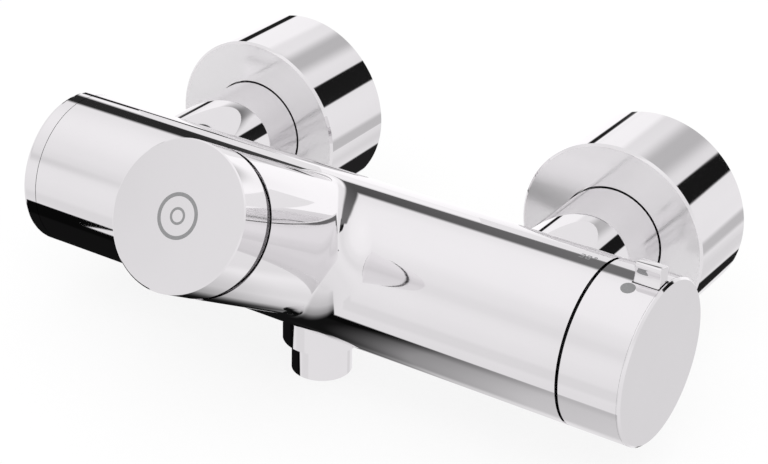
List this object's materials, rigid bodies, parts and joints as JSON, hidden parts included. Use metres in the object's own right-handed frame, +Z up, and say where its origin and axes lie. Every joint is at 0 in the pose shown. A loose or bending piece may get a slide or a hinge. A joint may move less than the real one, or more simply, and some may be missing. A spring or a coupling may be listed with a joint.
{
  "type": "thermostatic shower valve",
  "caption": "Exposed wall-mounted thermostatic shower valve: a round bar with a temperature handle on its right end, a tilted self-closing push button, two rosettes and a hose outlet below.",
  "frame": {"origin": "on the wall plane, midway between the two inlets, level with the bar's axis", "axes": "+X to the user's right along the bar, +Y into the wall, +Z up; the bar's axis is the line y = -0.0965, z = 0"},
  "size_m": [0.2359, 0.1998, 0.1101],
  "materials": {
    "chrome": "polished",
    "brass": "machined",
    "steel": "drawn wire",
    "rubber": "moulded",
    "white_plastic": "moulded",
    "dark_plastic": "moulded"
  },
  "bodies": {
    "valve": {"valve_body": "chrome", "end_cap": "chrome", "end_cap_seal": "rubber", "outlet_nipple": "chrome", "outlet_seal": "rubber", "hot_rosette": "chrome", "cold_rosette": "chrome", "hot_grip_ring": "rubber", "cold_grip_ring": "rubber", "hot_wall_union": "brass", "cold_wall_union": "brass", "hot_union_nut": "brass", "cold_union_nut": "brass", "hot_strainer_washer": "dark_plastic", "cold_strainer_washer": "dark_plastic", "hot_check_sleeve": "white_plastic", "cold_check_sleeve": "white_plastic", "hot_check_spring": "steel", "cold_check_spring": "steel", "cartridge_sleeve": "white_plastic", "cartridge_head": "white_plastic", "cartridge_seals": "rubber", "spindle_seal": "rubber", "cartridge_nut": "brass", "return_spring": "steel", "stop_ring": "dark_plastic", "button_guide": "chrome", "timing_cartridge": "white_plastic", "timing_seals": "rubber", "stem_seal": "rubber", "valve_seat": "brass", "timing_spring": "steel"},
    "handle": {"temperature_handle": "chrome", "handle_hub": "white_plastic", "handle_cover": "chrome", "hub_screw": "steel", "spindle": "brass", "stop_button_spring": "steel"},
    "stop_tab": {"stop_button": "chrome"},
    "spool": {"follower": "brass", "element_spring": "steel", "wax_element": "brass", "control_spool": "white_plastic"},
    "button": {"push_button": "chrome", "button_stem": "brass", "timing_piston": "brass", "piston_seal": "rubber", "valve_washer": "rubber", "valve_disc": "brass"},
    "hot_check": {"hot_poppet": "dark_plastic"},
    "cold_check": {"cold_poppet": "dark_plastic"}
  },
  "joints": [
    {"name": "handle_turn", "type": "hinge", "parent": "valve", "child": "handle", "pos_m": [0.1155, -0.0965, 0], "axis": [1, 0, 0], "range_deg": [-170, 2]},
    {"name": "spool_slide", "type": "slide", "parent": "valve", "child": "spool", "axis": [1, 0, 0], "range_m": [-0.001, 0.001], "deforming": ["return_spring"]},
    {"name": "stop_press", "type": "slide", "parent": "handle", "child": "stop_tab", "axis": [0, 0, -1], "range_m": [0, 0.0022], "stiffness_N_per_m": 300, "springref_m": -0.002, "deforming": ["stop_button_spring"]},
    {"name": "button_press", "type": "slide", "parent": "valve", "child": "button", "axis": [0, 0.866, -0.5], "range_m": [0, 0.002], "stiffness_N_per_m": 800, "springref_m": -0.008, "deforming": ["timing_spring"]},
    {"name": "hot_check_open", "type": "slide", "parent": "valve", "child": "hot_check", "axis": [0, -1, 0], "range_m": [0, 0.003], "stiffness_N_per_m": 30, "springref_m": -0.004, "deforming": ["hot_check_spring"]},
    {"name": "cold_check_open", "type": "slide", "parent": "valve", "child": "cold_check", "axis": [0, -1, 0], "range_m": [0, 0.003], "stiffness_N_per_m": 30, "springref_m": -0.004, "deforming": ["cold_check_spring"]}
  ],
  "couplings": [
    {"joint": "spool_slide", "follows": "handle_turn", "m_per_rad": 0.000318}
  ]
}
